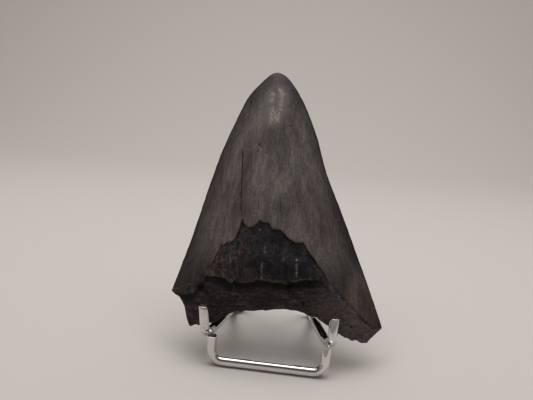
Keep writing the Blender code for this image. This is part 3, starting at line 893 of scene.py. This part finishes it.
def root_material():
    """Root: porous fossil bone, matt brown-black, without the shine of the enamel.

    Wavy fibres lie across it and the right lobe is greyer.  A painted shadow makes it
    blackest under the ledge, and painted shade darkens its hollows.
    """
    mat, tree, shader = new_material("fossil_root")
    own = tooth_coordinates(tree)
    value = read_values(tree, ("above_ledge_mm", "shaded_hollow"))
    noise = noise_patterns(tree, own, [
        ("clouds", (1, 1, 1), 6.0, 5.0, 0.65, 0.5),
        ("fibres", (0.25, 1, 1), 0.9, 5.0, 0.7, 0.9),
        ("grain", (1, 1, 1), 0.6, 4.0, 0.7, 0.0),
    ])
    place = add_node(tree, "ShaderNodeSeparateXYZ", {"Vector": own}).outputs["X"]
    colour = lay_colours(tree, linear("#282324"), [
        (noise["clouds"], noise["grain"], 0.1, 0.40, 0.62, 0.0, 1.0, "#3a3333"),
        (place, noise["clouds"], 8.0, 8.0, 22.0, 0.0, 0.65, "#5a5352"),
        (noise["fibres"], noise["grain"], 0.1, 0.50, 0.72, 0.0, 0.6, "#554a47"),
        # Painted shadow under the ledge.
        (value["above_ledge_mm"], noise["clouds"], 4.0, -4.2, -1.6, 0.0, 0.9, "#100d0e"),
        # Painted shade in the hollows.
        (value["shaded_hollow"], noise["grain"], 0.6, 0.5, 1.2, 0.9, 0.0, "#0d0b0b"),
    ])
    colour = shade(tree, colour, [(noise["grain"], 0.30, 0.70, 0.60, 1.36),
                                  (noise["fibres"], 0.32, 0.68, 0.70, 1.30)])
    finish_surface(tree, shader, colour, (noise["clouds"], 0.6, 0.8),
                   [(noise["fibres"], 0.14), (noise["grain"], 0.12)])
    shader.inputs["Specular IOR Level"].default_value = 0.14
    return mat


def chrome_material():
    """Bright chrome plate on drawn steel wire: a mirror, clouded here and there by handling."""
    mat, tree, shader = new_material("chrome_plate")
    texture = add_node(tree, "ShaderNodeTexCoord")
    noise = noise_patterns(tree, texture.outputs["Object"], [
        ("smears", (1, 1, 1), 5.0 * MM, 3.0, 0.6, 0.0),
        ("drawing", (1, 1, 1), 0.8 * MM, 2.0, 0.6, 0.0),
    ])
    colour = lay_colours(tree, linear("#dfdedc"), [
        (noise["smears"], noise["drawing"], 0.1, 0.40, 0.65, 0.0, 1.0, "#d4d2d0")])
    # Small brown dots on the cradle's bends.
    for brown_dot in WIRE_BROWN_DOTS:
        apart = add_node(tree, "ShaderNodeVectorMath",
                         {0: texture.outputs["Object"],
                          1: ((np.array(brown_dot) - FOOTPRINT_MIDDLE) * MM).tolist()},
                         operation="DISTANCE").outputs["Value"]
        colour = lay_colours(tree, colour, [
            (apart, noise["drawing"], 0.2 * MM, 0.1 * MM, BROWN_DOT_REACH * MM, 0.9, 0.0,
             "#8a6a48")])
    finish_surface(tree, shader, colour, (noise["smears"], 0.03, 0.09),
                   [(noise["drawing"], 0.004)])
    shader.inputs["Metallic"].default_value = 1.0
    return mat


def weld_material():
    """Weld metal under the plating: the same chrome, but satin and finely lumpy."""
    mat, tree, shader = new_material("plated_weld")
    texture = add_node(tree, "ShaderNodeTexCoord")
    noise = noise_patterns(tree, texture.outputs["Object"], [
        ("lumps", (1, 1, 1), 1.2 * MM, 2.0, 0.6, 0.0)])
    colour = lay_colours(tree, linear("#c9c7c5"), [
        (noise["lumps"], noise["lumps"], 0.0, 0.40, 0.65, 0.0, 1.0, "#aaa7a4")])
    finish_surface(tree, shader, colour, (noise["lumps"], 0.30, 0.50),
                   [(noise["lumps"], 0.12)])
    shader.inputs["Metallic"].default_value = 1.0
    return mat


def cut_end_material():
    """Cut face of the wire under thin plating: dull dark brown-red with paler speckles."""
    mat, tree, shader = new_material("cut_wire_end")
    texture = add_node(tree, "ShaderNodeTexCoord")
    noise = noise_patterns(tree, texture.outputs["Object"], [
        ("end_speckle", (1, 1, 1), 0.5 * MM, 3.0, 0.7, 0.0)])
    colour = lay_colours(tree, linear("#4a2728"), [
        (noise["end_speckle"], noise["end_speckle"], 0.0, 0.45, 0.65, 0.0, 0.7, "#6e5450")])
    finish_surface(tree, shader, colour, (noise["end_speckle"], 0.4, 0.6),
                   [(noise["end_speckle"], 0.03)])
    shader.inputs["Metallic"].default_value = 0.3
    return mat


# ---------------------------------------------------------------- stage
def add_stage():
    """A pale sweep: floor, a wide bend and a wall behind it."""
    turn = np.linspace(0, math.pi / 2, BEND_STEPS)
    profile_y = np.concatenate([[STAGE_FRONT], BEND_START + BEND_RADIUS * np.sin(turn),
                                [BEND_START + BEND_RADIUS]])
    profile_z = np.concatenate([[0.0], BEND_RADIUS - BEND_RADIUS * np.cos(turn), [WALL_TOP]])
    x = np.array([-STAGE_HALF_WIDTH, STAGE_HALF_WIDTH])
    points = np.stack(np.broadcast_arrays(x[None, :], profile_y[:, None], profile_z[:, None]),
                      axis=-1)
    mesh = bpy.data.meshes.new("pale_sweep")
    mesh.from_pydata(points.reshape(-1, 3) * MM, [], grid_triangles(len(profile_y), 2, 0, False))
    mesh.shade_smooth()
    floor = bpy.data.objects.new("pale_sweep", mesh)
    bpy.context.collection.objects.link(floor)
    mat, _, shader = new_material("matt_pale_card")
    shader.inputs["Base Color"].default_value = linear("#cdc8c3")
    shader.inputs["Roughness"].default_value = 0.9
    mesh.materials.append(mat)


def add_area_light(name, place, target, width, length, watts):
    """A rectangular soft light that faces its target; places and sizes in millimetres."""
    light = bpy.data.lights.new(name, "AREA")
    light.shape = "RECTANGLE"
    light.size = width * MM
    light.size_y = length * MM
    light.energy = watts
    obj = bpy.data.objects.new(name, light)
    obj.location = Vector(place) * MM
    obj.rotation_euler = (Vector(target) - Vector(place)).to_track_quat("-Z", "Y").to_euler()
    bpy.context.collection.objects.link(obj)


def add_lights():
    """A soft box overhead under a wider, dimmer one, in a room that darkens upwards."""
    for row in LIGHTS:
        add_area_light(*row)
    world = bpy.data.worlds.new("dim_room")
    world.use_nodes = True
    tree = world.node_tree
    direction = add_node(tree, "ShaderNodeTexCoord")
    rise = add_node(tree, "ShaderNodeSeparateXYZ", {"Vector": direction.outputs["Generated"]})
    share = add_node(tree, "ShaderNodeMapRange",
                     {"Value": rise.outputs["Z"], "From Min": ROOM_CHANGE[0],
                      "From Max": ROOM_CHANGE[1]})
    room = add_node(tree, "ShaderNodeMix",
                    {"Factor": share.outputs[0], "A": linear(ROOM_LOW), "B": linear(ROOM_HIGH)},
                    data_type="RGBA")
    tree.links.new(room.outputs["Result"], tree.nodes["Background"].inputs["Color"])
    bpy.context.scene.world = world


def add_camera():
    """A close view from a little above, level with the tooth's middle, rolled slightly."""
    sin_p, cos_p = math.sin(CAMERA_PITCH), math.cos(CAMERA_PITCH)
    sin_y, cos_y = math.sin(CAMERA_YAW), math.cos(CAMERA_YAW)
    ahead = np.array([-sin_y * cos_p, cos_y * cos_p, -sin_p])
    right = np.array([cos_y, sin_y, 0.0])
    up = np.cross(right, ahead)
    turned_right = right * math.cos(CAMERA_ROLL) + up * math.sin(CAMERA_ROLL)
    turned_up = up * math.cos(CAMERA_ROLL) - right * math.sin(CAMERA_ROLL)
    camera = bpy.data.cameras.new("camera")
    camera.sensor_width = SENSOR_WIDTH
    camera.lens = SENSOR_WIDTH * FOCAL_PIXELS / IMAGE_WIDTH
    camera.clip_start, camera.clip_end = CLIP_RANGE
    obj = bpy.data.objects.new("camera", camera)
    turn = Matrix(np.stack([turned_right, turned_up, -ahead], axis=1).tolist())
    place = Vector(CAMERA_PLACE - FOOTPRINT_MIDDLE) * MM
    obj.matrix_world = Matrix.Translation(place) @ turn.to_4x4()
    bpy.context.collection.objects.link(obj)
    bpy.context.scene.camera = obj


# ---------------------------------------------------------------- the whole
def main():
    """Build the dressed object and its stage."""
    chrome = chrome_material()
    cut_end = cut_end_material()
    welds = weld_material()
    build_tooth([enamel_material(), bourlette_material(), root_material()])
    build_wire("chrome_cradle_wire", "cradle_wire", CRADLE_CORNERS, [chrome, cut_end])
    build_wire("chrome_foot_wire", "foot_wire", FOOT_CORNERS, [chrome, cut_end, welds],
               (BARE_END, PLATED_END))
    for name, place, along, radii in WELD_BEADS:
        build_weld_bead(name, place, along, radii, [welds])
    add_stage()
    bpy.context.scene.view_settings.view_transform = "Standard"
    add_lights()
    add_camera()


main()
